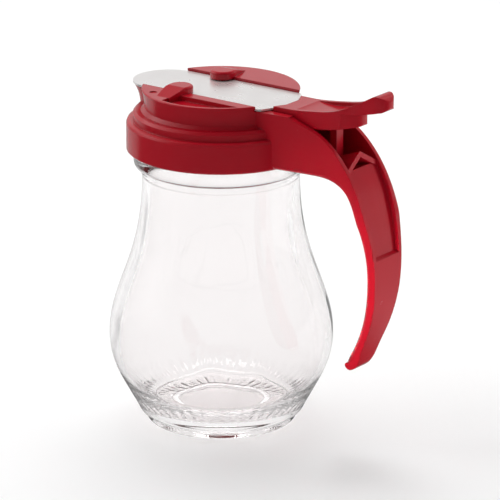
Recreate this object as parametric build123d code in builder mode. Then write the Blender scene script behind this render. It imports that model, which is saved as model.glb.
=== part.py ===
from build123d import *
import math
import os

# A six ounce syrup dispenser: a glass jar, a screw-on pouring top moulded in one with its handle,
# and a sprung cut-off blade that a thumb slide draws back over the handle.
# Millimetres. The origin is the centre of the jar's foot, +Z is up, the handle points to +X, the spout to -X.
# The jar's threads and the soft optic panels of its wall are surface detail and are not in the solids.

# --- jar ---
belly_radius = 38.1
belly_height = 29.5
neck_radius = 26.5
foot_radius = 22.7
punt_radius = 16.8
punt_height = 2.2
glass_wall = 2.8
glass_floor = 7.4
bead_radius = 29.5
bead_bottom = 88.0
bead_top = 95.0
mouth_radius = 27.3
mouth_bore = 23.9
jar_rim = 105.0
rim_chamfer = 0.7

# --- seal ---
seal_inner_radius = 23.9
seal_outer_radius = 27.4
seal_thickness = 1.3

# --- pouring top ---
collar_radius = 31.7
collar_bottom = 95.1
collar_top = 105.5
collar_bore = 28.9
collar_bore_top = 104.2
seal_seat_radius = 27.7
roof_underside = jar_rim + seal_thickness
step_radius = 29.4
step_top = 108.7
wall_radius = 25.6
rim_radius = 26.5
deck_top = 116.2
chamber_radius = 23.4
chamber_top = 112.3
track_half_width = 12.35
track_floor = 114.4
pocket_depth = 1.6
pocket_start = -6.0
pocket_inner_y = 16.4
pocket_radius = 25.2
dimple_radius = 1.3
dimple_at = (-14.2, -18.4)

# Spout sections: height, centre of the round front, radius of the round front.
spout_outside = ((105.2, -20.2, 10.7), (109.4, -20.5, 10.9), (111.5, -20.9, 11.1), (114.4, -21.9, 11.8))
spout_inside = ((107.4, -14.5, 8.0), (110.2, -19.0, 9.0), (114.5, -21.9, 10.1))
spout_body_length = 16.0
spout_bore_length = 6.0

# --- blade ---
blade_thickness = 0.7
blade_bottom = 114.6
blade_half_width = 12.0
blade_front_centre = -22.0
blade_corner_x = 24.6
blade_neck_x = 28.4
blade_neck_half_width = 4.6
blade_tail_end = 35.5

# --- hold-down tabs ---
tab_front = -12.2
tab_back = -3.8
tab_underside = 115.65
tab_top = 118.3
tab_tip_y = 7.4
tab_root_y = 21.2

# --- thumb slide ---
slide_half_width = 7.8
paddle_half_width = 4.4
paddle_tip = 68.9
slide_wall = 1.5
slide_block_back = 31.2
slide_rear = 58.5
slide_cavity_corner = 48.5
slide_cavity_back = 51.5
paddle_underside = 117.4
dish_back = 57.0
tail_underside = 113.8
slide_ceiling = 114.55
peg_radius = 1.3
peg_x = 32.8

# --- handle ---
handle_half_width = 9.9
root_half_width = 11.6
jar_side_rounding = 1.5
channel_half_width = 8.3
web_front_x = 26.8
channel_front_x = 30.7
channel_floor = 98.2
roof_front = 56.6
roof_ridge = 104.0
roof_drop = 5.1
roof_thickness = 2.0
roof_lean = 10.0
roof_length = 10.5
roof_slope = 21.0
post_front = 46.0
post_back = 48.6
post_half_width = 1.9
post_top = 113.4

# --- spring ---
spring_axis_z = 111.9
spring_radius = 1.5
spring_wire = 0.35
spring_turns = 6
spigot_radius = 1.0
spigot_length = 1.1


def build_jar():
    """Teardrop jar: thick foot with a punt, belly, neck, sealing bead and plain finish."""
    with BuildPart() as jar:
        with BuildSketch(Plane.XZ):
            with BuildLine():
                Polyline(
                    (0, punt_height),
                    (punt_radius - 1.6, punt_height),
                    (punt_radius, 0),
                    (foot_radius, 0),
                    (26.0, 1.4),
                    (28.2, 5.0),
                    (34.8, 16.9),
                )
                TangentArc((34.8, 16.9), (belly_radius, belly_height), tangent=(6.6, 11.9))
                TangentArc((belly_radius, belly_height), (35.25, 45.3), tangent=(0, 1))
                Line((35.25, 45.3), (31.2, 56.4))
                TangentArc((31.2, 56.4), (neck_radius, 82.4), tangent=(-4.05, 11.1))
                Polyline(
                    (neck_radius, 82.4),
                    (neck_radius, bead_bottom),
                    (bead_radius - 0.4, bead_bottom + 3.0),
                    (bead_radius, bead_bottom + 4.3),
                    (bead_radius - 0.4, bead_top - 1.2),
                    (mouth_radius, bead_top + 0.4),
                    (mouth_radius, jar_rim - rim_chamfer),
                    (mouth_radius - rim_chamfer, jar_rim),
                    (mouth_bore + rim_chamfer, jar_rim),
                    (mouth_bore, jar_rim - rim_chamfer),
                    (mouth_bore, 82.4),
                    (24.4, 73.6),
                    (25.8, 65.0),
                    (28.5, 55.5),
                    (32.6, 44.4),
                    (34.7, 37.0),
                    (belly_radius - glass_wall, belly_height),
                    (34.4, 23.4),
                    (32.2, 18.2),
                    (29.2, 12.8),
                    (26.0, 9.8),
                    (22.0, glass_floor + 0.8),
                    (12.0, glass_floor),
                    (0, glass_floor),
                    (0, punt_height),
                )
            make_face()
        revolve(axis=Axis.Z)
    return jar.part


def build_seal():
    """Flat ring squeezed between the jar's rim and the roof of the top."""
    with BuildPart() as seal:
        with BuildSketch(Plane.XY.offset(jar_rim)):
            Circle(seal_outer_radius)
            Circle(seal_inner_radius, mode=Mode.SUBTRACT)
        extrude(amount=seal_thickness)
    return seal.part


def spout_loft(sections, length):
    """Smooth loft through round-fronted slots that lean out towards the pouring lip."""
    with BuildPart() as spout:
        for height, front_centre, radius in sections:
            with BuildSketch(Plane.XY.offset(height)):
                with Locations((front_centre + length / 2, 0)):
                    SlotCenterToCenter(length, 2 * radius)
        loft()
    return spout.part


def build_handle():
    """Curved handle: side outline cut to its widths seen from the end and above, round on the jar side."""
    with BuildPart() as handle:
        with BuildSketch(Plane.XZ):
            with BuildLine():
                Line((22.0, 95.5), (30.0, 95.5))
                Spline(
                    (30.0, 95.5),
                    (44.0, 95.5),
                    (51.4, 94.9),
                    (56.8, 92.0),
                    (60.9, 84.0),
                    (64.0, 72.0),
                    (64.5, 62.0),
                    (62.2, 48.0),
                    (57.1, 36.0),
                    (54.3, 31.2),
                    tangents=((1, 0), (-0.45, -1)),
                )
                ThreePointArc((54.3, 31.2), (54.2, 29.3), (55.8, 28.8))
                Spline(
                    (55.8, 28.8),
                    (61.1, 36.0),
                    (64.9, 45.0),
                    (67.7, 56.0),
                    (68.2, 68.0),
                    (66.4, 80.0),
                    (62.3, 92.0),
                    (56.9, 101.0),
                    (51.1, 107.0),
                    (44.6, 110.8),
                    (36.0, 114.1),
                    (28.0, 115.3),
                    tangents=((1, 0.3), (-1, 0)),
                )
                Polyline((28.0, 115.3), (22.0, 115.3), (22.0, 95.5))
            make_face()
        extrude(amount=18, both=True)
        with BuildSketch(Plane.YZ):
            with BuildLine():
                Spline(
                    (2.6, 27.5),
                    (4.5, 33.0),
                    (5.7, 44.0),
                    (7.1, 58.0),
                    (7.9, 68.0),
                    (9.3, 80.0),
                    (handle_half_width, 90.0),
                    tangents=((0.5, 1), (0, 1)),
                )
                Polyline((handle_half_width, 90.0), (handle_half_width, 94.6), (18.0, 94.6), (18.0, 120.0))
                Polyline((18.0, 120.0), (0, 120.0), (0, 27.5), (2.6, 27.5))
            make_face()
            mirror(about=Plane.YZ)
        extrude(amount=80, mode=Mode.INTERSECT)
        with BuildSketch(Plane.XY.offset(20)):
            with BuildLine():
                Line((20.0, root_half_width), (28.0, root_half_width))
                Spline(
                    (28.0, root_half_width),
                    (34.0, 11.1),
                    (42.0, 10.2),
                    (50.0, handle_half_width),
                    tangents=((1, 0), (1, 0)),
                )
                Polyline((50.0, handle_half_width), (75.0, handle_half_width), (75.0, 0), (20.0, 0))
                Line((20.0, 0), (20.0, root_half_width))
            make_face()
            mirror(about=Plane.XZ)
        extrude(amount=100, mode=Mode.INTERSECT)
        jar_side = handle.edges().filter_by(GeomType.BSPLINE).sort_by_distance((61.7, 9.9, 60.0))
        tail_edges = [edge for edge in jar_side if (edge @ 0.5).X < 65 and edge.length > 50]
        fillet([edge for edge in tail_edges if abs((edge @ 0.5).Y) > 5], jar_side_rounding)
    return handle.part


def build_channel():
    """Room inside the handle for the slide, running out as a shallow hollow half way down the back."""
    with BuildPart() as channel:
        with BuildSketch(Plane.XZ):
            with BuildLine():
                Polyline(
                    (web_front_x, 118.0),
                    (web_front_x, 109.9),
                    (channel_front_x, 107.2),
                    (channel_front_x, channel_floor),
                    (50.0, 97.8),
                    (57.0, 98.6),
                )
                Spline(
                    (57.0, 98.6),
                    (60.9, 91.3),
                    (64.0, 82.6),
                    (65.8, 75.8),
                    (66.7, 70.6),
                    tangents=((0.5, -0.8), (0.15, -1)),
                )
                Polyline((66.7, 70.6), (70.5, 68.6), (74.0, 90.0), (62.0, 118.0), (web_front_x, 118.0))
            make_face()
        extrude(amount=channel_half_width, both=True)
        with BuildSketch(Plane.YZ):
            with BuildLine():
                Spline((6.3, 66.0), (6.7, 72.0), (7.6, 82.0), (8.2, 92.0), tangents=((0, 1), (0, 1)))
                Polyline((8.2, 92.0), (channel_half_width, 96.0), (channel_half_width, 120.0), (0, 120.0))
                Polyline((0, 120.0), (0, 66.0), (6.3, 66.0))
            make_face()
            mirror(about=Plane.YZ)
        extrude(amount=80, mode=Mode.INTERSECT)
    return channel.part


def build_tabs():
    """Two rounded tabs that stand on the deck and reach in over the blade's edges."""
    with BuildPart() as tabs:
        with BuildSketch(Plane.XY.offset(track_floor)):
            with BuildLine():
                mid_x = (tab_front + tab_back) / 2
                half_length = (tab_back - tab_front) / 2
                tip_centre_y = tab_tip_y + half_length
                ThreePointArc((tab_front, tip_centre_y), (mid_x, tab_tip_y), (tab_back, tip_centre_y))
                Polyline(
                    (tab_back, tip_centre_y),
                    (tab_back, 13.0),
                    (mid_x + 2.6, tab_root_y),
                    (mid_x - 2.6, tab_root_y),
                    (tab_front, 13.0),
                    (tab_front, tip_centre_y),
                )
            make_face()
        extrude(amount=5)
        with BuildSketch(Plane.YZ.offset(tab_front - 1)):
            with BuildLine():
                Polyline(
                    (tab_tip_y - 1, tab_underside),
                    (track_half_width + 0.35, tab_underside),
                    (track_half_width + 0.35, track_floor),
                    (tab_root_y + 1, track_floor),
                    (tab_root_y + 1, deck_top),
                    (tab_root_y, deck_top),
                    (14.0, tab_top),
                    (tab_tip_y - 1, tab_top),
                    (tab_tip_y - 1, tab_underside),
                )
            make_face()
        extrude(amount=12, mode=Mode.INTERSECT)
        fillet(tabs.edges().filter_by_position(Axis.Z, tab_top - 0.1, tab_top + 0.1), 0.9)
        mirror(about=Plane.XZ)
    return tabs.part


def build_roof():
    """Gabled web that closes the lower end of the slide channel, its ridge running down into the handle."""
    lean = math.radians(roof_lean)
    slope = math.radians(roof_slope)
    facing = (math.cos(lean), 0, math.sin(lean))
    outer_end = Plane(origin=(roof_front, 0, roof_ridge), x_dir=(0, 1, 0), z_dir=facing)
    eaves_y = channel_half_width + 0.3
    with BuildPart() as roof:
        with BuildSketch(outer_end):
            Polygon(
                (0, 0),
                (eaves_y, -roof_drop),
                (eaves_y, -roof_drop - roof_thickness),
                (0, -roof_thickness),
                (-eaves_y, -roof_drop - roof_thickness),
                (-eaves_y, -roof_drop),
                align=None,
            )
        extrude(amount=roof_length, dir=(-math.cos(slope), 0, -math.sin(slope)))
        split(bisect_by=Plane.XY.offset(channel_floor - 1.2), keep=Keep.TOP)
    return roof.part


def build_top_rings():
    """Collar, step, wall and deck as one turned body, still solid inside."""
    with BuildPart() as rings:
        with BuildSketch(Plane.XZ):
            with BuildLine():
                Polyline(
                    (0, collar_bottom),
                    (collar_radius - 0.5, collar_bottom),
                    (collar_radius, collar_bottom + 0.5),
                    (collar_radius, collar_top - 1.2),
                    (collar_radius - 0.35, collar_top - 0.35),
                    (collar_radius - 1.2, collar_top),
                    (step_radius, collar_top),
                    (step_radius, step_top - 0.9),
                    (step_radius - 0.9, step_top),
                    (wall_radius + 1.1, step_top),
                    (wall_radius, step_top + 1.1),
                )
                ThreePointArc((wall_radius, step_top + 1.1), (25.8, 113.0), (rim_radius, deck_top - 0.3))
                Polyline(
                    (rim_radius, deck_top - 0.3),
                    (rim_radius - 0.3, deck_top),
                    (0, deck_top),
                    (0, collar_bottom),
                )
            make_face()
        revolve(axis=Axis.Z)
    return rings.part


def build_pouring_top():
    """The red moulding: rings, spout, handle, slide channel, blade track, tabs, web and spring post."""
    rings = build_top_rings()
    handle = build_handle()
    spout = spout_loft(spout_outside, spout_body_length)
    throat = spout_loft(spout_inside, spout_bore_length)
    channel = build_channel()
    tabs = build_tabs()
    roof = build_roof()
    with BuildPart() as top:
        add(rings)
        add(handle)
        add(spout)
        with BuildSketch(Plane.XZ):
            with BuildLine():
                Polyline(
                    (0, collar_bottom - 1),
                    (collar_bore, collar_bottom - 1),
                    (collar_bore, collar_bore_top),
                    (seal_seat_radius, collar_bore_top + 0.8),
                    (seal_seat_radius, roof_underside),
                    (chamber_radius, roof_underside),
                    (chamber_radius, chamber_top),
                    (0, chamber_top),
                    (0, collar_bottom - 1),
                )
            make_face()
        revolve(axis=Axis.Z, mode=Mode.SUBTRACT)
        add(throat, mode=Mode.SUBTRACT)
        add(channel, mode=Mode.SUBTRACT)
        with BuildSketch(Plane.XY.offset(track_floor)):
            Rectangle(120, 2 * track_half_width)
        extrude(amount=10, mode=Mode.SUBTRACT)
        with BuildSketch(Plane.XY.offset(deck_top)):
            Circle(pocket_radius)
            with Locations((pocket_start + 15, -pocket_inner_y - 8)):
                Rectangle(30, 16, mode=Mode.INTERSECT)
        extrude(amount=-pocket_depth, mode=Mode.SUBTRACT)
        with BuildSketch(Plane.XY.offset(deck_top)):
            with Locations(dimple_at):
                Circle(dimple_radius)
        extrude(amount=-0.3, mode=Mode.SUBTRACT)
        add(tabs)
        add(roof)
        with BuildSketch(Plane.XY.offset(channel_floor - 0.5)):
            with Locations(((post_front + post_back) / 2, 0)):
                Rectangle(post_back - post_front, 2 * post_half_width)
        extrude(amount=post_top - channel_floor + 0.5)
        with BuildSketch(Plane.YZ.offset(post_front)):
            with Locations((0, spring_axis_z)):
                Circle(spigot_radius)
        extrude(amount=-spigot_length)
    return top.part


def build_blade():
    """Flat stainless blade: round front, cut-off rear corners and a narrow tail with a peg hole."""
    with BuildPart() as blade:
        with BuildSketch(Plane.XY.offset(blade_bottom)):
            with BuildLine():
                front = blade_front_centre - blade_half_width
                ThreePointArc(
                    (blade_front_centre, -blade_half_width),
                    (front, 0),
                    (blade_front_centre, blade_half_width),
                )
                Polyline(
                    (blade_front_centre, blade_half_width),
                    (blade_corner_x, blade_half_width),
                    (blade_neck_x, blade_neck_half_width),
                    (blade_tail_end, blade_neck_half_width),
                    (blade_tail_end, -blade_neck_half_width),
                    (blade_neck_x, -blade_neck_half_width),
                    (blade_corner_x, -blade_half_width),
                    (blade_front_centre, -blade_half_width),
                )
            make_face()
            with Locations((peg_x, 0)):
                Circle(peg_radius + 0.1, mode=Mode.SUBTRACT)
        extrude(amount=blade_thickness)
        upright = blade.edges().filter_by(Axis.Z)
        fillet(upright.filter_by_position(Axis.X, blade_corner_x - 1, blade_corner_x + 1), 1.5)
    return blade.part


def build_slide_limits():
    """The slide's outline from above: a body with a round end, and a narrower paddle over it."""
    paddle_centre = paddle_tip - paddle_half_width
    with BuildPart() as limits:
        with BuildSketch(Plane.XY.offset(105)):
            with BuildLine():
                Line((26.0, slide_half_width), (48.0, slide_half_width))
                Spline(
                    (48.0, slide_half_width),
                    (54.0, 6.6),
                    (60.5, paddle_half_width),
                    tangents=((1, 0), (1, -0.1)),
                )
                Line((60.5, paddle_half_width), (paddle_centre, paddle_half_width))
                ThreePointArc(
                    (paddle_centre, paddle_half_width),
                    (paddle_centre + 0.7071 * paddle_half_width, 0.7071 * paddle_half_width),
                    (paddle_tip, 0),
                )
                Polyline((paddle_tip, 0), (26.0, 0), (26.0, slide_half_width))
            make_face()
            mirror(about=Plane.XZ)
        extrude(amount=25)
        with BuildSketch(Plane.XY.offset(paddle_underside)):
            with BuildLine():
                Spline(
                    (51.0, 9.0),
                    (54.2, 6.0),
                    (57.2, 3.2),
                    (slide_rear, 0),
                    tangents=((1, -1), (0, -1)),
                )
                Polyline((slide_rear, 0), (72.0, 0), (72.0, 9.0), (51.0, 9.0))
            make_face()
            mirror(about=Plane.XZ)
        extrude(amount=-20, mode=Mode.SUBTRACT)
    return limits.part


def build_dish():
    """Hollow in the slide's top, deepest in the middle and narrowing towards the paddle."""
    inside_y = slide_half_width - slide_wall
    with BuildPart() as dish:
        with BuildSketch(Plane.XZ):
            with BuildLine():
                Line((34.5, 120.0), (34.5, 116.6))
                Spline(
                    (34.5, 116.6),
                    (39.0, 115.7),
                    (46.0, 115.9),
                    (51.5, 117.2),
                    (dish_back, 120.6),
                    tangents=((1, -0.6), (1, 0.8)),
                )
                Polyline((dish_back, 120.6), (dish_back, 124.0), (34.5, 124.0), (34.5, 120.0))
            make_face()
        extrude(amount=inside_y, both=True)
        with BuildSketch(Plane.XY.offset(110)):
            with BuildLine():
                Line((34.0, inside_y), (48.0, inside_y))
                Spline((48.0, inside_y), (53.0, 5.2), (dish_back, 2.8), tangents=((1, 0), (1, -0.7)))
                Polyline((dish_back, 2.8), (dish_back, 0), (34.0, 0), (34.0, inside_y))
            make_face()
            mirror(about=Plane.XZ)
        extrude(amount=20, mode=Mode.INTERSECT)
    return dish.part


def build_slide():
    """Thumb slide: side walls under a dished top, a block for the blade's tail, and the thumb paddle."""
    limits = build_slide_limits()
    dish = build_dish()
    inside_y = slide_half_width - slide_wall
    with BuildPart() as slide:
        with BuildSketch(Plane.XZ):
            with BuildLine():
                Polyline(
                    (27.3, 112.4),
                    (28.6, 110.8),
                    (43.0, 110.8),
                    (56.4, 112.7),
                    (58.2, 113.0),
                    (slide_rear, 113.7),
                    (slide_rear, paddle_underside),
                    (62.0, 118.2),
                    (66.6, 119.3),
                )
                ThreePointArc((66.6, 119.3), (69.1, 121.6), (67.2, 124.2))
                ThreePointArc((67.2, 124.2), (65.6, 124.7), (63.8, 124.1))
                Line((63.8, 124.1), (59.5, 121.7))
                Spline(
                    (59.5, 121.7),
                    (52.5, 118.5),
                    (45.8, 117.2),
                    (37.0, 116.2),
                    (27.3, 116.0),
                    tangents=((-1, -0.5), (-1, 0)),
                )
                Line((27.3, 116.0), (27.3, 112.4))
            make_face()
        extrude(amount=slide_half_width, both=True)
        add(limits, mode=Mode.INTERSECT)
        with BuildSketch(Plane.XY.offset(tail_underside)):
            with BuildLine():
                Polyline(
                    (slide_block_back, 0),
                    (slide_block_back, inside_y),
                    (slide_cavity_corner, inside_y),
                    (slide_cavity_back, 5.0),
                    (slide_cavity_back, 0),
                    (slide_block_back, 0),
                )
            make_face()
            mirror(about=Plane.XZ)
        extrude(amount=-10, mode=Mode.SUBTRACT)
        with BuildSketch(Plane.XY.offset(tail_underside - 1)):
            with Locations(((blade_tail_end + 0.5 + slide_cavity_corner) / 2, 0)):
                Rectangle(slide_cavity_corner - blade_tail_end - 0.5, 2 * inside_y)
        extrude(amount=slide_ceiling - tail_underside + 1, mode=Mode.SUBTRACT)
        add(dish, mode=Mode.SUBTRACT)
        with BuildSketch(Plane.XY.offset(blade_bottom)):
            with Locations(((blade_tail_end + 20) / 2, 0)):
                Rectangle(blade_tail_end - 20, 2 * blade_neck_half_width)
            with Locations((peg_x, 0)):
                Circle(peg_radius, mode=Mode.SUBTRACT)
        extrude(amount=blade_thickness, mode=Mode.SUBTRACT)
        with BuildSketch(Plane.XY.offset(105)):
            with BuildLine():
                Polyline((20, 9.6), (26.6, 9.2), (29.6, 3.6), (29.6, 0), (20, 0), (20, 9.6))
            make_face()
            mirror(about=Plane.XZ)
        extrude(amount=20, mode=Mode.SUBTRACT)
        with BuildSketch(Plane.YZ.offset(slide_block_back)):
            with Locations((0, spring_axis_z)):
                Circle(spigot_radius)
        extrude(amount=spigot_length)
    return slide.part


def coil_point(turn):
    """Point on the spring's centre line after a number of turns, and its direction there."""
    start_x = slide_block_back + 1.6 * spring_wire
    length = post_front - slide_block_back - 3.2 * spring_wire
    angle = 2 * math.pi * turn
    place = Vector(
        start_x + length * turn / spring_turns,
        spring_radius * math.sin(angle),
        spring_axis_z - spring_radius * math.cos(angle),
    )
    heading = Vector(
        length / spring_turns,
        2 * math.pi * spring_radius * math.cos(angle),
        2 * math.pi * spring_radius * math.sin(angle),
    )
    return place, heading.normalized()


def biarc(start, start_heading, end, end_heading):
    """Two arcs that leave along one heading, meet smoothly and arrive along the other."""
    chord = end - start
    both = start_heading + end_heading
    a = both.dot(both) - 4
    b = -2 * chord.dot(both)
    reach = (-b - math.sqrt(b * b - 4 * a * chord.dot(chord))) / (2 * a)
    meeting = (start + start_heading * reach + end - end_heading * reach) * 0.5
    TangentArc(start, meeting, tangent=start_heading)
    TangentArc(end, meeting, tangent=end_heading * -1)


def build_spring():
    """Open coil spring along X, wound as one unbroken wire of half-turn biarcs."""
    half_turns = 2 * spring_turns
    with BuildPart() as spring:
        with BuildLine() as wire:
            place, heading = coil_point(0)
            Line(place - heading * spring_wire, place)
            for half_turn in range(half_turns):
                end, end_heading = coil_point((half_turn + 1) / 2)
                biarc(place, heading, end, end_heading)
                place, heading = end, end_heading
            Line(place, place + heading * spring_wire)
        path = wire.wires()[0]
        with BuildSketch(Plane(origin=path @ 0, z_dir=path % 0)):
            RegularPolygon(spring_wire / 2, 5)
        sweep(path=path)
    return spring.part, path


def least_turn_gap(path):
    """Smallest clear gap between neighbouring turns, measured on points along the wire's centre line."""
    steps = 24 * spring_turns
    points = [path @ (step / steps) for step in range(steps + 1)]
    nearest = min((b - a).length for i, a in enumerate(points) for b in points[i + 14 :])
    return nearest - spring_wire


pieces = {
    "jar": build_jar(),
    "rim_seal": build_seal(),
    "pouring_top": build_pouring_top(),
    "cutoff_blade": build_blade(),
    "thumb_slide": build_slide(),
}
pieces["return_spring"], spring_path = build_spring()
print(f"least gap between the spring's turns {least_turn_gap(spring_path):.2f} mm")

os.makedirs("parts", exist_ok=True)
for name, piece in pieces.items():
    piece.label = name
    export_step(piece, f"parts/{name}.step")
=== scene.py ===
import math

import bmesh
import bpy
from mathutils import Matrix, Vector


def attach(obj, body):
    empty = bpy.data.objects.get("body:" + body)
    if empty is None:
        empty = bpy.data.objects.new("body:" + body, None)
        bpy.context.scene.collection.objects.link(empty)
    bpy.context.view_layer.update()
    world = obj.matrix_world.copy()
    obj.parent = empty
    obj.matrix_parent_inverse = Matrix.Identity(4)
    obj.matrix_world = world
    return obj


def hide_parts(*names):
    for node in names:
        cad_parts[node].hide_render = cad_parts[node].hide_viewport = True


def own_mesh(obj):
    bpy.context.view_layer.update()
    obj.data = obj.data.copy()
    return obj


# Syrup dispenser: pressed glass jar, red pouring top with its handle, steel cut-off blade and thumb slide.
# Metres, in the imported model's frame: +Z up, the handle points to +X, the spout to -X.

mm = 0.001
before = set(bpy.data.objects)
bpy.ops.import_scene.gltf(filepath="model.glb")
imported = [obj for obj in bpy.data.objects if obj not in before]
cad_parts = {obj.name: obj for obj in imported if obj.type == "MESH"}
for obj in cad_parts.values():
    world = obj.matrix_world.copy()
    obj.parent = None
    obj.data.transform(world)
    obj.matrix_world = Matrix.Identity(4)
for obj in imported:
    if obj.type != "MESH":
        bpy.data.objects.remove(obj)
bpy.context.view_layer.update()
print("frame loaded:", sorted(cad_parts))


def newPiece(name, bm, material, body, replaces=()):
    # turns a finished bmesh into a piece that rides on a body
    mesh = bpy.data.meshes.new(name)
    bm.to_mesh(mesh)
    bm.free()
    piece = bpy.data.objects.new(name, mesh)
    bpy.context.scene.collection.objects.link(piece)
    mesh.materials.append(material)
    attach(piece, body)
    if replaces:
        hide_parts(*replaces)
    return piece


def smoothPiece(piece, sharpAngle=None):
    piece.data.shade_smooth()
    if sharpAngle:
        piece.data.set_sharp_from_angle(angle=math.radians(sharpAngle))


def addOutline(bm, points, closed=False):
    # a chain of edges through (radius, height) points, in millimetres
    verts = [bm.verts.new((radius * mm, 0, height * mm)) for radius, height in points]
    pairs = list(zip(verts, verts[1:])) + ([(verts[-1], verts[0])] if closed else [])
    edges = [bm.edges.new(pair) for pair in pairs]
    return verts, edges


def roundCorners(bm, verts, size, segments=3):
    bmesh.ops.bevel(
        bm, geom=verts, offset=size * mm, offset_type="OFFSET", segments=segments,
        profile=0.5, affect="VERTICES", material=-1,
    )


def turnOutline(bm, steps):
    # spins what the bmesh holds once round the jar's axis
    bmesh.ops.spin(
        bm, geom=bm.verts[:] + bm.edges[:], cent=(0, 0, 0), axis=(0, 0, 1),
        angle=math.tau, steps=steps, use_merge=True, use_duplicate=False,
    )
    bmesh.ops.remove_doubles(bm, verts=bm.verts[:], dist=1e-7)
    bmesh.ops.recalc_face_normals(bm, faces=bm.faces[:])


def easeBetween(low, high, value):
    share = min(1.0, max(0.0, (value - low) / (high - low)))
    return share * share * (3 - 2 * share)


def pushOut(vert, amount):
    # moves a vertex away from the jar's axis by millimetres
    flat = Vector((vert.co.x, vert.co.y, 0))
    if flat.length > 1e-6:
        vert.co += flat.normalized() * amount * mm


def makeGroup(name, inputs, outputs):
    group = bpy.data.node_groups.new(name, "ShaderNodeTree")
    for label, kind, value in inputs:
        socket = group.interface.new_socket(name=label, in_out="INPUT", socket_type=kind)
        socket.default_value = value
    for label, kind in outputs:
        group.interface.new_socket(name=label, in_out="OUTPUT", socket_type=kind)
    return group, group.nodes.new("NodeGroupInput"), group.nodes.new("NodeGroupOutput")


def addNode(tree, kind, **settings):
    node = tree.nodes.new(kind)
    for key, value in settings.items():
        setattr(node, key, value)
    return node


def fill(node, **values):
    for key, value in values.items():
        node.inputs[key.replace("_", " ")].default_value = value
    return node


def mouldedSurfaceGroup():
    # fine orange peel, slow flow waves and light handling marks of a glossy moulding
    group, given, result = makeGroup(
        "mouldedSurface",
        [("Coordinates", "NodeSocketVector", (0, 0, 0)), ("Gloss Roughness", "NodeSocketFloat", 0.2),
         ("Handling", "NodeSocketFloat", 0.5)],
        [("Roughness", "NodeSocketFloat"), ("Height", "NodeSocketFloat"), ("Shade", "NodeSocketFloat")],
    )
    peel = fill(addNode(group, "ShaderNodeTexNoise"), Scale=1400.0, Detail=2.0)
    waves = fill(addNode(group, "ShaderNodeTexNoise"), Scale=70.0, Detail=1.0)
    marks = fill(addNode(group, "ShaderNodeTexNoise"), Scale=260.0, Detail=6.0, Roughness=0.7)
    stretch = fill(addNode(group, "ShaderNodeMapping"), Scale=(1.0, 1.0, 0.2))
    scratch = fill(addNode(group, "ShaderNodeTexNoise"), Scale=520.0, Detail=8.0, Roughness=0.85)
    for texture in (peel, waves, marks):
        group.links.new(given.outputs["Coordinates"], texture.inputs["Vector"])
    group.links.new(given.outputs["Coordinates"], stretch.inputs["Vector"])
    group.links.new(stretch.outputs["Vector"], scratch.inputs["Vector"])
    markRange = fill(
        addNode(group, "ShaderNodeMapRange"), From_Min=0.45, From_Max=0.75, To_Min=0.0, To_Max=0.14,
    )
    group.links.new(marks.outputs["Fac"], markRange.inputs["Value"])
    scratchRange = fill(
        addNode(group, "ShaderNodeMapRange"), From_Min=0.58, From_Max=0.7, To_Min=0.0, To_Max=0.08,
    )
    group.links.new(scratch.outputs["Fac"], scratchRange.inputs["Value"])
    wear = addNode(group, "ShaderNodeMath", operation="ADD")
    group.links.new(markRange.outputs["Result"], wear.inputs[0])
    group.links.new(scratchRange.outputs["Result"], wear.inputs[1])
    handled = addNode(group, "ShaderNodeMath", operation="MULTIPLY")
    group.links.new(wear.outputs["Value"], handled.inputs[0])
    group.links.new(given.outputs["Handling"], handled.inputs[1])
    total = addNode(group, "ShaderNodeMath", operation="ADD")
    group.links.new(given.outputs["Gloss Roughness"], total.inputs[0])
    group.links.new(handled.outputs["Value"], total.inputs[1])
    group.links.new(total.outputs["Value"], result.inputs["Roughness"])
    slow = addNode(group, "ShaderNodeMath", operation="MULTIPLY_ADD")
    slow.inputs[1].default_value = 3.0
    group.links.new(waves.outputs["Fac"], slow.inputs[0])
    group.links.new(peel.outputs["Fac"], slow.inputs[2])
    group.links.new(slow.outputs["Value"], result.inputs["Height"])
    group.links.new(waves.outputs["Fac"], result.inputs["Shade"])
    return group


def brushedGroup():
    # long fine strokes along one direction, with a few deeper ones
    group, given, result = makeGroup(
        "brushedStrokes",
        [("Coordinates", "NodeSocketVector", (0, 0, 0)),
         ("Stroke Scale", "NodeSocketVector", (20, 1500, 1500))],
        [("Stroke", "NodeSocketFloat"), ("Smear", "NodeSocketFloat")],
    )
    scaled = addNode(group, "ShaderNodeVectorMath", operation="MULTIPLY")
    group.links.new(given.outputs["Coordinates"], scaled.inputs[0])
    group.links.new(given.outputs["Stroke Scale"], scaled.inputs[1])
    fine = fill(addNode(group, "ShaderNodeTexNoise"), Scale=1.0, Detail=4.0, Roughness=0.65)
    group.links.new(scaled.outputs["Vector"], fine.inputs["Vector"])
    smear = fill(addNode(group, "ShaderNodeTexNoise"), Scale=90.0, Detail=3.0, Roughness=0.6)
    group.links.new(given.outputs["Coordinates"], smear.inputs["Vector"])
    group.links.new(fine.outputs["Fac"], result.inputs["Stroke"])
    group.links.new(smear.outputs["Fac"], result.inputs["Smear"])
    return group


moulded = mouldedSurfaceGroup()
brushed = brushedGroup()


def startMaterial(name):
    material = bpy.data.materials.new(name)
    material.use_nodes = True
    tree = material.node_tree
    shader = tree.nodes["Principled BSDF"]
    place = addNode(tree, "ShaderNodeTexCoord")
    return material, tree, shader, place


def placeGroup(tree, group, place):
    node = addNode(tree, "ShaderNodeGroup")
    node.node_tree = group
    tree.links.new(place.outputs["Object"], node.inputs["Coordinates"])
    return node


def tintBetween(tree, shader, darkColor, color, factor):
    tint = addNode(tree, "ShaderNodeMix", data_type="RGBA")
    tint.inputs["A"].default_value = darkColor
    tint.inputs["B"].default_value = color
    tree.links.new(factor, tint.inputs["Factor"])
    tree.links.new(tint.outputs["Result"], shader.inputs["Base Color"])


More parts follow.
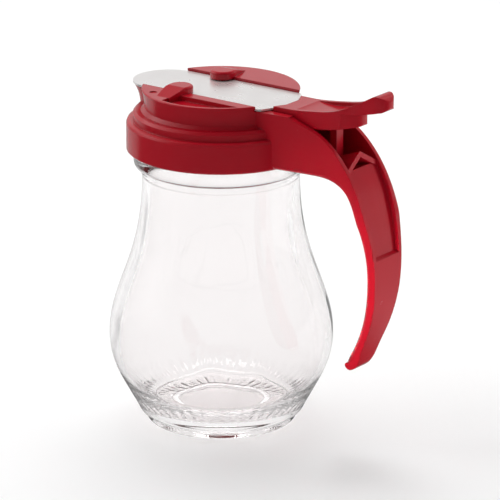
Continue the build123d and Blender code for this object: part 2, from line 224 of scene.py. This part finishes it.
redPlastic = {
    "deepColor": (0.385, 0.0032, 0.0125, 1.0),
    "lightColor": (0.425, 0.0042, 0.0145, 1.0),
    "roughness": 0.20,
    "ior": 1.45,
    "edgeRounding": 0.35 * mm,
    "peelDepth": 0.012 * mm,
}


def makeRedPlastic():
    material, tree, shader, place = startMaterial("glossyRedPlastic")
    surface = fill(placeGroup(tree, moulded, place), Gloss_Roughness=redPlastic["roughness"], Handling=0.6)
    tintBetween(tree, shader, redPlastic["deepColor"], redPlastic["lightColor"], surface.outputs["Shade"])
    tree.links.new(surface.outputs["Roughness"], shader.inputs["Roughness"])
    edge = fill(addNode(tree, "ShaderNodeBevel", samples=6), Radius=redPlastic["edgeRounding"])
    bump = fill(addNode(tree, "ShaderNodeBump"), Strength=0.35, Distance=redPlastic["peelDepth"])
    tree.links.new(surface.outputs["Height"], bump.inputs["Height"])
    tree.links.new(edge.outputs["Normal"], bump.inputs["Normal"])
    tree.links.new(bump.outputs["Normal"], shader.inputs["Normal"])
    fill(shader, IOR=redPlastic["ior"])
    return material


clearGlass = {
    "color": (0.965, 0.950, 0.950, 1.0),
    "ior": 1.50,
    "haze": 0.02,
    "waviness": 0.05 * mm,
    "shadowTint": (0.94, 0.93, 0.93, 1.0),
}


def makeGlass():
    material, tree, shader, place = startMaterial("pressedGlass")
    fill(shader, Base_Color=clearGlass["color"], IOR=clearGlass["ior"], Transmission_Weight=1.0)
    wave = fill(addNode(tree, "ShaderNodeTexNoise"), Scale=120.0, Detail=1.0)
    tree.links.new(place.outputs["Object"], wave.inputs["Vector"])
    haze = fill(
        addNode(tree, "ShaderNodeMapRange"),
        From_Min=0.3, From_Max=0.7, To_Min=0.0, To_Max=clearGlass["haze"],
    )
    tree.links.new(wave.outputs["Fac"], haze.inputs["Value"])
    tree.links.new(haze.outputs["Result"], shader.inputs["Roughness"])
    bump = fill(addNode(tree, "ShaderNodeBump"), Strength=0.4, Distance=clearGlass["waviness"])
    tree.links.new(wave.outputs["Fac"], bump.inputs["Height"])
    tree.links.new(bump.outputs["Normal"], shader.inputs["Normal"])
    # lamps reach the table through the jar
    clear = addNode(tree, "ShaderNodeBsdfTransparent")
    clear.inputs["Color"].default_value = clearGlass["shadowTint"]
    path = addNode(tree, "ShaderNodeLightPath")
    mixer = addNode(tree, "ShaderNodeMixShader")
    tree.links.new(path.outputs["Is Shadow Ray"], mixer.inputs["Fac"])
    tree.links.new(shader.outputs["BSDF"], mixer.inputs[1])
    tree.links.new(clear.outputs["BSDF"], mixer.inputs[2])
    tree.links.new(mixer.outputs["Shader"], tree.nodes["Material Output"].inputs["Surface"])
    return material


bladeSteel = {
    "color": (0.97, 0.945, 0.935, 1.0),
    "darkColor": (0.90, 0.875, 0.865, 1.0),
    "strokeScale": (30, 1800, 60),
    "strokeDepth": 0.004 * mm,
    "roughnessLow": 0.24,
    "roughnessHigh": 0.40,
    "metallic": 0.65,  # below 1 for the pale matt look of satin sheet under soft light
}


def makeBladeSteel():
    material, tree, shader, place = startMaterial("brushedStainless")
    strokes = placeGroup(tree, brushed, place)
    strokes.inputs["Stroke Scale"].default_value = bladeSteel["strokeScale"]
    tintBetween(tree, shader, bladeSteel["darkColor"], bladeSteel["color"], strokes.outputs["Stroke"])
    rough = fill(
        addNode(tree, "ShaderNodeMapRange"), From_Min=0.3, From_Max=0.7,
        To_Min=bladeSteel["roughnessLow"], To_Max=bladeSteel["roughnessHigh"],
    )
    tree.links.new(strokes.outputs["Smear"], rough.inputs["Value"])
    tree.links.new(rough.outputs["Result"], shader.inputs["Roughness"])
    bump = fill(addNode(tree, "ShaderNodeBump"), Strength=0.15, Distance=bladeSteel["strokeDepth"])
    tree.links.new(strokes.outputs["Stroke"], bump.inputs["Height"])
    tree.links.new(bump.outputs["Normal"], shader.inputs["Normal"])
    fill(shader, Metallic=bladeSteel["metallic"])
    return material


springSteel = {"darkColor": (0.42, 0.42, 0.43, 1.0), "color": (0.62, 0.61, 0.60, 1.0), "roughness": 0.28}


def makeSpringSteel():
    material, tree, shader, place = startMaterial("springWire")
    strokes = placeGroup(tree, brushed, place)
    strokes.inputs["Stroke Scale"].default_value = (900, 900, 900)
    tintBetween(tree, shader, springSteel["darkColor"], springSteel["color"], strokes.outputs["Stroke"])
    fill(shader, Metallic=1.0, Roughness=springSteel["roughness"])
    return material


softRubber = {"darkColor": (0.66, 0.64, 0.58, 1.0), "color": (0.78, 0.76, 0.70, 1.0), "roughness": 0.55}


def makeSealRubber():
    material, tree, shader, place = startMaterial("sealRubber")
    surface = fill(placeGroup(tree, moulded, place), Gloss_Roughness=softRubber["roughness"], Handling=0.8)
    tintBetween(tree, shader, softRubber["darkColor"], softRubber["color"], surface.outputs["Shade"])
    tree.links.new(surface.outputs["Roughness"], shader.inputs["Roughness"])
    return material


red = makeRedPlastic()
glass = makeGlass()
steel = makeBladeSteel()
springWire = makeSpringSteel()
rubber = makeSealRubber()
print("materials made")


def dress(nodeName, material):
    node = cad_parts[nodeName]
    for slot in node.material_slots:
        slot.material = material


jarShape = {
    "turnSteps": 192,
    "opticPanels": 12,
    "opticDepth": 0.42,
    "opticSharpness": 1.5,
    "opticBottom": 20.0,  # the panels fade in up to opticFull and out again from opticFade
    "opticFull": 42.0,
    "opticFade": 72.0,
    "opticTop": 84.0,
    "floorBelow": 20.0,  # what lies inside and lower than this belongs to the floor
    "floorScallops": 48,
    "scallopDepth": 0.8,
    "scallopRing": (22.0, 24.0, 25.5, 28.8),  # radii where the scallops start, are full, and end
    "stippleDots": 64,
    "stippleDepth": 0.22,
    "stippleRing": (18.4, 22.0),
    "stippleFirstRow": 18.6,
    "stippleBelow": 9.0,
    "heelDots": 48,
    "heelDotDepth": 0.25,
    "heelDotsFrom": 19.0,  # radius, on the foot's outer half
    "heelDotsBelow": 0.3,
    "finishHeight": 8.4,  # length of the straight wall that carries the thread
}

jarOutside = [
    (22.6, 0.0), (24.4, 0.1), (25.3, 0.6), (25.7, 1.5), (25.9, 2.7), (26.3, 3.3), (27.2, 3.5), (27.9, 4.1),
    (28.4, 5.2), (28.9, 6.2), (31.2, 10.4), (33.7, 14.9), (36.0, 19.6),
    (37.6, 24.5), (38.1, 29.5), (37.9, 34.2), (37.0, 39.5), (35.2, 45.4), (33.2, 51.0), (31.2, 56.4),
    (29.5, 62.0), (28.1, 68.0), (27.1, 74.5), (26.6, 81.0), (26.5, 86.0), (26.5, 86.5), (26.9, 87.0),
    (26.9, 87.8), (26.6, 88.3), (26.6, 89.3), (28.6, 89.5), (29.2, 90.3), (29.5, 92.3), (29.2, 94.2),
    (28.2, 95.2), (27.3, 95.6), (27.3, 95.8), (27.3, 104.2), (27.1, 104.8), (26.5, 105.0),
]
jarInside = [
    (24.7, 105.0), (24.1, 104.8), (23.9, 104.2), (23.9, 90.0), (23.9, 84.0), (24.2, 76.0), (25.1, 68.0),
    (26.6, 61.0), (28.6, 55.3), (30.6, 50.0), (32.6, 44.4), (34.2, 39.6), (35.1, 34.4), (35.3, 29.5),
    (34.9, 24.6), (33.6, 20.0), (31.3, 15.4), (28.6, 11.9), (26.2, 9.9), (24.6, 9.1), (23.6, 8.7),
    (23.0, 8.0), (22.4, 7.6), (21.6, 7.5), (20.6, 7.5), (19.6, 7.5), (18.6, 7.4), (14.0, 7.4),
    (9.0, 7.4), (4.0, 7.4), (0.0, 7.4),
]
jarUnderside = [(0.0, 2.2), (8.0, 2.2), (14.6, 2.2), (15.4, 1.9), (16.6, 0.35), (17.4, 0.0), (19.5, 0.0)]


def panelDepth(angle, height):
    # soft upright panels pressed into the inside of the wall
    wave = 0.5 + 0.5 * math.cos(jarShape["opticPanels"] * angle)
    fadeIn = easeBetween(jarShape["opticBottom"], jarShape["opticFull"], height)
    fade = fadeIn * (1 - easeBetween(jarShape["opticFade"], jarShape["opticTop"], height))
    return jarShape["opticDepth"] * fade * wave ** jarShape["opticSharpness"]


jarThread = {
    "turns": 1.5,
    "pitch": 4.19,
    "start": 97.3,
    "halfWidth": 1.0,
    "depth": 1.0,
    "fullness": 0.6,  # 0.5 is a round ridge, more makes it thinner
    "runOut": 0.08,  # share of a turn in which an end sinks into the wall
    "rows": 16,
    "lowest": 95.9,
    "highest": 104.1,
}


def threadHeight(angle, height):
    # one and a half turns of a rounded ridge round the finish
    thread = jarThread
    best = 0.0
    for turn in range(3):
        travel = angle / math.tau + turn
        if travel > thread["turns"]:
            continue
        offset = (height - thread["start"] - thread["pitch"] * travel) / thread["halfWidth"]
        last = easeBetween(thread["turns"] - thread["runOut"], thread["turns"], travel)
        ends = easeBetween(0, thread["runOut"], travel) * (1 - last)
        best = max(best, thread["depth"] * ends * max(0.0, 1 - offset * offset) ** thread["fullness"])
    return best


collarThread = {
    "turns": 1.6,
    "from": -0.7,
    "depth": 1.2,
    "rootHalf": 0.9,
    "tipHalf": 0.35,
    "bore": 28.95,
    "steps": 60,  # in one turn
    "runOut": 0.10,  # share of a turn in which an end sinks into the wall
    "overrun": 0.05,
}


def makeCollarThread(material):
    # the ridge inside the collar, half a pitch off the jar's own
    thread = collarThread
    pitch = jarThread["pitch"]
    start = jarThread["start"] + pitch * (0.5 + thread["from"])
    tip = thread["bore"] - thread["depth"]
    bm = bmesh.new()
    outline = [
        (thread["bore"], start - thread["rootHalf"]), (tip, start - thread["tipHalf"]),
        (tip, start + thread["tipHalf"]), (thread["bore"], start + thread["rootHalf"]),
    ]
    verts = addOutline(bm, outline, closed=True)[0]
    turnBack = Matrix.Rotation(math.tau * thread["from"], 3, "Z")
    bmesh.ops.rotate(bm, verts=verts, cent=(0, 0, 0), matrix=turnBack)
    steps = int(thread["turns"] * thread["steps"])
    bmesh.ops.spin(
        bm, geom=bm.verts[:] + bm.edges[:], cent=(0, 0, 0), axis=(0, 0, 1), angle=math.tau * thread["turns"],
        dvec=(0, 0, pitch * thread["turns"] * mm / steps), steps=steps, use_merge=False, use_duplicate=False,
    )
    bmesh.ops.holes_fill(bm, edges=[edge for edge in bm.edges if edge.is_boundary])
    bmesh.ops.recalc_face_normals(bm, faces=bm.faces[:])
    for vert in bm.verts:
        travel = (vert.co.z / mm - start) / pitch
        last = easeBetween(thread["turns"] - thread["runOut"], thread["turns"] + thread["overrun"], travel)
        ends = easeBetween(-thread["overrun"], thread["runOut"], travel) * (1 - last)
        radius = vert.co.xy.length / mm
        pushOut(vert, (thread["bore"] - radius) * (1 - ends))
    ridge = newPiece("collarThread", bm, material, "top")
    smoothPiece(ridge, 30)


def makeJar():
    bm = bmesh.new()
    addOutline(bm, jarInside)
    turnOutline(bm, jarShape["turnSteps"])
    for vert in bm.verts:
        angle = math.atan2(vert.co.y, vert.co.x)
        height = vert.co.z / mm
        radius = vert.co.xy.length / mm
        pushOut(vert, panelDepth(angle, height))
        scallop = 0.5 * jarShape["scallopDepth"] * math.cos(jarShape["floorScallops"] * angle)
        ringIn, ringFull, ringFade, ringOut = jarShape["scallopRing"]
        scallop *= easeBetween(ringIn, ringFull, radius) * (1 - easeBetween(ringFade, ringOut, radius))
        vert.co.z += scallop * (height < jarShape["floorBelow"]) * mm
        stippleIn, stippleOut = jarShape["stippleRing"]
        if stippleIn < radius < stippleOut and height < jarShape["stippleBelow"]:
            row = math.pi * round(radius - jarShape["stippleFirstRow"])
            vert.co.z += jarShape["stippleDepth"] * math.cos(jarShape["stippleDots"] * angle + row) * mm
    shell = bmesh.new()
    edges = addOutline(shell, jarUnderside + jarOutside + jarInside[:1])[1]
    finish = [edge for edge in edges if abs(edge.calc_length() / mm - jarShape["finishHeight"]) < 0.01]
    bmesh.ops.subdivide_edges(shell, edges=finish, cuts=jarThread["rows"])
    turnOutline(shell, jarShape["turnSteps"])
    for vert in shell.verts:
        angle = math.atan2(vert.co.y, vert.co.x) % math.tau
        height = vert.co.z / mm
        radius = vert.co.xy.length / mm
        if jarThread["lowest"] < height < jarThread["highest"]:
            pushOut(vert, threadHeight(angle, height))
        if height < jarShape["heelDotsBelow"] and radius > jarShape["heelDotsFrom"]:
            dot = max(0.0, math.cos(jarShape["heelDots"] * angle))
            vert.co.z += jarShape["heelDotDepth"] * dot * mm
    outside = bpy.data.meshes.new("outsideWall")
    shell.to_mesh(outside)
    shell.free()
    bm.from_mesh(outside)
    bpy.data.meshes.remove(outside)
    bmesh.ops.remove_doubles(bm, verts=bm.verts[:], dist=2e-6)
    bmesh.ops.recalc_face_normals(bm, faces=bm.faces[:])
    jar = newPiece("glassJar", bm, glass, "glass_jar", ["jar"])
    soften = jar.modifiers.new("soften", "SUBSURF")
    soften.levels = soften.render_levels = 1
    smoothPiece(jar)


makeJar()
print("jar made")


sealRing = {
    "inner": 24.1,
    "outer": 27.3,
    "bottom": 105.0,
    "top": 106.3,
    "grooveHalf": 0.6,
    "grooveDepth": 0.25,
    "corner": 0.2,
    "turnSteps": 96,
}


def makeSeal():
    bm = bmesh.new()
    ring = sealRing
    middle = (ring["inner"] + ring["outer"]) / 2
    outline = [
        (ring["inner"], ring["bottom"]), (ring["outer"], ring["bottom"]), (ring["outer"], ring["top"]),
        (middle + ring["grooveHalf"], ring["top"]), (middle, ring["top"] - ring["grooveDepth"]),
        (middle - ring["grooveHalf"], ring["top"]), (ring["inner"], ring["top"]),
    ]
    verts = addOutline(bm, outline, closed=True)[0]
    roundCorners(bm, verts, ring["corner"])
    turnOutline(bm, ring["turnSteps"])
    seal = newPiece("sealingRing", bm, rubber, "sealing_ring", ["rim_seal"])
    smoothPiece(seal, 40)


spring = {
    "turns": 6,
    "radius": 1.5,
    "wire": 0.38,
    "axisHeight": 111.9,
    "front": 31.45,
    "back": 45.75,
    "steps": 28,  # in one turn
    "wireSides": 12,
    "seatGap": 14.8,  # from the slide's block to the post in the handle
    "travel": 12.0,
    "postFace": 46.0,
}


def makeSpring():
    bm = bmesh.new()
    start = Matrix.Translation((spring["front"] * mm, spring["radius"] * mm, spring["axisHeight"] * mm))
    bmesh.ops.create_circle(
        bm, segments=spring["wireSides"], radius=spring["wire"] / 2 * mm, matrix=start, cap_ends=False,
    )
    total = spring["turns"] * spring["steps"]
    bmesh.ops.spin(
        bm, geom=bm.verts[:] + bm.edges[:], cent=(0, 0, spring["axisHeight"] * mm), axis=(1, 0, 0),
        dvec=((spring["back"] - spring["front"]) * mm / total, 0, 0), angle=math.tau * spring["turns"],
        steps=total, use_merge=False, use_duplicate=False,
    )
    bmesh.ops.holes_fill(bm, edges=[edge for edge in bm.edges if edge.is_boundary])
    bmesh.ops.recalc_face_normals(bm, faces=bm.faces[:])
    coil = newPiece("returnSpringCoil", bm, springWire, "top", ["return_spring"])
    smoothPiece(coil, 60)
    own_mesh(coil)


makeSeal()
makeCollarThread(red)
makeSpring()
print("seal and spring made")


dress("pouring_top", red)
dress("thumb_slide", red)
dress("cutoff_blade", steel)


cameraView = {
    "turn": 36.476,
    "tilt": 18.141,
    "distance": 1350.3,
    "lens": 288.0,
    "aimRight": 9.707,
    "aimUp": 59.019,
}


def makeCamera():
    turn = math.radians(cameraView["turn"])
    tilt = math.radians(cameraView["tilt"])
    right = Vector((math.cos(turn), math.sin(turn), 0))
    ahead = Vector((-math.sin(turn), math.cos(turn), 0))
    look = ahead * math.cos(tilt) - Vector((0, 0, 1)) * math.sin(tilt)
    target = right * cameraView["aimRight"] * mm + Vector((0, 0, cameraView["aimUp"] * mm))
    data = bpy.data.cameras.new("camera")
    data.lens = cameraView["lens"]
    data.sensor_width = 36.0
    data.clip_start = 0.05
    data.clip_end = 20.0
    camera = bpy.data.objects.new("camera", data)
    bpy.context.scene.collection.objects.link(camera)
    camera.location = target - look * cameraView["distance"] * mm
    camera.rotation_euler = look.to_track_quat("-Z", "Y").to_euler()
    bpy.context.scene.camera = camera
    return right, ahead


rightward, ahead = makeCamera()


def inRoom(right, forward, up=0.0):
    # a direction or a place, told from the photograph's side
    return rightward * right + ahead * forward + Vector((0, 0, up))


studio = {
    "floorHalf": 6.0,
    "floorDrop": 0.02 * mm,  # keeps the floor just clear of the jar's foot
    "floorColor": (0.87, 0.87, 0.87, 1.0),
    "floorGlow": 0.05,
    "whiteFrom": 0.25,  # the floor runs out into plain white between these distances
    "whiteBy": 0.75,
    "floorMirrored": 0.04,  # the floor as gloss shows it on the photograph's side
    "floorMirroredFar": 0.6,  # and behind the object, to the right
    "farSide": (0.35, 0.94),  # that way, as shares of rightward and ahead
    "farStarts": 0.015,  # metres that way from the jar's axis
    "farFull": 0.05,
    "worldLight": 0.31,
    "wallMirrored": ((0.50, 0.25), (0.57, 0.74), (0.73, 0.74), (0.90, 0.15)),  # height, brightness
    "wallNear": 0.25,  # share of that brightness on the photograph's side
    "brightSide": (-0.34, 0.94),  # where the walls are at their full brightness
    "brightFrom": -0.25,  # cosines to that side between which they brighten
    "brightBy": 0.35,
    "window": (-1.0, 0.25, 0.95),  # a soft bright patch high on the left wall
    "windowGlow": 2.2,
    "windowFrom": 0.80,  # cosines to its middle between which it brightens
    "windowBy": 0.98,
    "longWayFrom": 4.5,  # light that has crossed the glass more often than this is dimmed
    "longWayTo": 11.0,
    "longWayLight": 0.70,
    "lampAim": (0, 0, 0.06),
    "bounces": 24,  # light runs a long way inside the thick glass
}


def whichRays(tree):
    # masks for rays that should meet white, for mirrored rays, and the dimming of long ways through the glass
    path = addNode(tree, "ShaderNodeLightPath")
    plain = addNode(tree, "ShaderNodeMath", operation="MAXIMUM")
    tree.links.new(path.outputs["Is Camera Ray"], plain.inputs[0])
    tree.links.new(path.outputs["Is Transmission Ray"], plain.inputs[1])
    longWay = fill(
        addNode(tree, "ShaderNodeMapRange"), From_Min=studio["longWayFrom"], From_Max=studio["longWayTo"],
        To_Min=1.0, To_Max=studio["longWayLight"],
    )
    tree.links.new(path.outputs["Ray Depth"], longWay.inputs["Value"])
    return plain.outputs["Value"], path.outputs["Is Glossy Ray"], longWay.outputs["Result"]


def makeFloor():
    bm = bmesh.new()
    bmesh.ops.create_grid(bm, x_segments=1, y_segments=1, size=studio["floorHalf"])
    bmesh.ops.translate(bm, verts=bm.verts[:], vec=(0, 0, -studio["floorDrop"]))
    mesh = bpy.data.meshes.new("floor")
    bm.to_mesh(mesh)
    bm.free()
    floor = bpy.data.objects.new("floor", mesh)
    bpy.context.scene.collection.objects.link(floor)
    material, tree, shader, place = startMaterial("paleFloor")
    fill(shader, Base_Color=studio["floorColor"], Roughness=0.9, Specular_IOR_Level=0.0)
    plain, mirrored, longWay = whichRays(tree)
    glow = fill(addNode(tree, "ShaderNodeEmission"), Color=(1, 1, 1, 1), Strength=studio["floorGlow"])
    both = addNode(tree, "ShaderNodeAddShader")
    tree.links.new(shader.outputs["BSDF"], both.inputs[0])
    tree.links.new(glow.outputs["Emission"], both.inputs[1])
    distance = addNode(tree, "ShaderNodeVectorMath", operation="LENGTH")
    tree.links.new(place.outputs["Object"], distance.inputs[0])
    far = fill(
        addNode(tree, "ShaderNodeMapRange", interpolation_type="SMOOTHSTEP"),
        From_Min=studio["whiteFrom"], From_Max=studio["whiteBy"],
    )
    tree.links.new(distance.outputs["Value"], far.inputs["Value"])
    farSeen = addNode(tree, "ShaderNodeMath", operation="MULTIPLY")
    tree.links.new(far.outputs["Result"], farSeen.inputs[0])
    tree.links.new(plain, farSeen.inputs[1])
    white = fill(addNode(tree, "ShaderNodeEmission"), Color=(1, 1, 1, 1), Strength=1.0)
    fading = addNode(tree, "ShaderNodeMixShader")
    tree.links.new(farSeen.outputs["Value"], fading.inputs["Fac"])
    tree.links.new(both.outputs["Shader"], fading.inputs[1])
    tree.links.new(white.outputs["Emission"], fading.inputs[2])
    dimmed = addNode(tree, "ShaderNodeMixShader")  # its first shader is left open, which is black
    tree.links.new(longWay, dimmed.inputs["Fac"])
    tree.links.new(fading.outputs["Shader"], dimmed.inputs[2])
    dim = fill(addNode(tree, "ShaderNodeEmission"), Color=(1, 1, 1, 1))
    along = addNode(tree, "ShaderNodeVectorMath", operation="DOT_PRODUCT")
    along.inputs[1].default_value = inRoom(*studio["farSide"])
    tree.links.new(place.outputs["Object"], along.inputs[0])
    sideLevel = fill(
        addNode(tree, "ShaderNodeMapRange", interpolation_type="SMOOTHSTEP"),
        From_Min=studio["farStarts"], From_Max=studio["farFull"],
        To_Min=studio["floorMirrored"], To_Max=studio["floorMirroredFar"],
    )
    tree.links.new(along.outputs["Value"], sideLevel.inputs["Value"])
    tree.links.new(sideLevel.outputs["Result"], dim.inputs["Strength"])
    onlyMirrored = addNode(tree, "ShaderNodeMath", operation="SUBTRACT", use_clamp=True)
    tree.links.new(mirrored, onlyMirrored.inputs[0])
    tree.links.new(plain, onlyMirrored.inputs[1])
    mixer = addNode(tree, "ShaderNodeMixShader")
    tree.links.new(onlyMirrored.outputs["Value"], mixer.inputs["Fac"])
    tree.links.new(dimmed.outputs["Shader"], mixer.inputs[1])
    tree.links.new(dim.outputs["Emission"], mixer.inputs[2])
    tree.links.new(mixer.outputs["Shader"], tree.nodes["Material Output"].inputs["Surface"])
    mesh.materials.append(material)


def makeWorld():
    world = bpy.data.worlds.new("softWhiteRoom")
    bpy.context.scene.world = world
    world.use_nodes = True
    tree = world.node_tree
    tree.nodes.clear()
    plain, mirrored, longWay = whichRays(tree)
    lit = fill(addNode(tree, "ShaderNodeBackground"), Color=(1, 1, 1, 1), Strength=studio["worldLight"])
    seen = fill(addNode(tree, "ShaderNodeBackground"), Color=(1, 1, 1, 1))
    tree.links.new(longWay, seen.inputs["Strength"])
    room = fill(addNode(tree, "ShaderNodeBackground"), Color=(1, 1, 1, 1))
    place = addNode(tree, "ShaderNodeTexCoord")
    split = addNode(tree, "ShaderNodeSeparateXYZ")
    tree.links.new(place.outputs["Generated"], split.inputs["Vector"])
    height = fill(addNode(tree, "ShaderNodeMapRange"), From_Min=-1.0, From_Max=1.0)
    tree.links.new(split.outputs["Z"], height.inputs["Value"])
    walls = addNode(tree, "ShaderNodeValToRGB")
    while len(walls.color_ramp.elements) < len(studio["wallMirrored"]):
        walls.color_ramp.elements.new(0.5)
    for stop, (position, level) in zip(walls.color_ramp.elements, studio["wallMirrored"]):
        stop.position = position
        stop.color = (level, level, level, 1.0)
    tree.links.new(height.outputs["Result"], walls.inputs["Fac"])
    tree.links.new(walls.outputs["Color"], room.inputs["Color"])
    along = addNode(tree, "ShaderNodeVectorMath", operation="DOT_PRODUCT")
    along.inputs[1].default_value = inRoom(*studio["brightSide"])
    tree.links.new(place.outputs["Generated"], along.inputs[0])
    nearLevel = fill(
        addNode(tree, "ShaderNodeMapRange", interpolation_type="SMOOTHSTEP"),
        From_Min=studio["brightFrom"], From_Max=studio["brightBy"], To_Min=studio["wallNear"], To_Max=1.0,
    )
    tree.links.new(along.outputs["Value"], nearLevel.inputs["Value"])
    window = addNode(tree, "ShaderNodeVectorMath", operation="DOT_PRODUCT")
    window.inputs[1].default_value = inRoom(*studio["window"]).normalized()
    tree.links.new(place.outputs["Generated"], window.inputs[0])
    windowLevel = fill(
        addNode(tree, "ShaderNodeMapRange", interpolation_type="SMOOTHSTEP"),
        From_Min=studio["windowFrom"], From_Max=studio["windowBy"], To_Max=studio["windowGlow"],
    )
    tree.links.new(window.outputs["Value"], windowLevel.inputs["Value"])
    total = addNode(tree, "ShaderNodeMath", operation="ADD")
    tree.links.new(nearLevel.outputs["Result"], total.inputs[0])
    tree.links.new(windowLevel.outputs["Result"], total.inputs[1])
    tree.links.new(total.outputs["Value"], room.inputs["Strength"])
    first = addNode(tree, "ShaderNodeMixShader")
    tree.links.new(mirrored, first.inputs["Fac"])
    tree.links.new(lit.outputs["Background"], first.inputs[1])
    tree.links.new(room.outputs["Background"], first.inputs[2])
    second = addNode(tree, "ShaderNodeMixShader")
    tree.links.new(plain, second.inputs["Fac"])
    tree.links.new(first.outputs["Shader"], second.inputs[1])
    tree.links.new(seen.outputs["Background"], second.inputs[2])
    output = addNode(tree, "ShaderNodeOutputWorld")
    tree.links.new(second.outputs["Shader"], output.inputs["Surface"])


def makeLamp(name, values):
    data = bpy.data.lights.new(name, "AREA")
    data.shape = "RECTANGLE"
    data.size, data.size_y = values["size"]
    data.energy = values["power"]
    lamp = bpy.data.objects.new(name, data)
    bpy.context.scene.collection.objects.link(lamp)
    lamp.location = values["spot"]
    data.spread = math.radians(values.get("spread", 180))
    aim = Vector(values.get("aim", studio["lampAim"])) - values["spot"]
    lamp.rotation_euler = aim.to_track_quat("-Z", "Y").to_euler()
    lamp.visible_glossy = False  # gloss sees the painted room instead
    lamp.visible_transmission = values.get("throughGlass", False)


makeFloor()
makeWorld()
lamps = {
    "keyLamp": {"spot": inRoom(-1.0, 0.25, 0.95), "size": (1.1, 1.1), "power": 9.0},
    "sideLamp": {"spot": inRoom(1.1, 0.27, 0.08), "size": (0.3, 0.5), "power": 10.0},
    "fillLamp": {"spot": inRoom(-0.6, -1.0, 0.9), "size": (1.0, 1.0), "power": 0.6},
    "topLamp": {"spot": inRoom(0.0, 0.6, 1.3), "size": (0.9, 0.9), "power": 11.5, "throughGlass": True},
    "handleLamp": {  # a narrow beam on the handle's tail, placed and aimed in the model's own frame
        "spot": Vector((0.10, -0.35, 0.03)), "aim": (0.066, 0, 0.055), "size": (0.04, 0.04),
        "power": 0.02, "spread": 20,
    },
}
for name, lamp in lamps.items():
    makeLamp(name, lamp)

scene = bpy.context.scene
scene.view_settings.view_transform = "Standard"
scene.cycles.max_bounces = studio["bounces"]
scene.cycles.glossy_bounces = studio["bounces"]
scene.cycles.transmission_bounces = studio["bounces"]
print("studio ready")
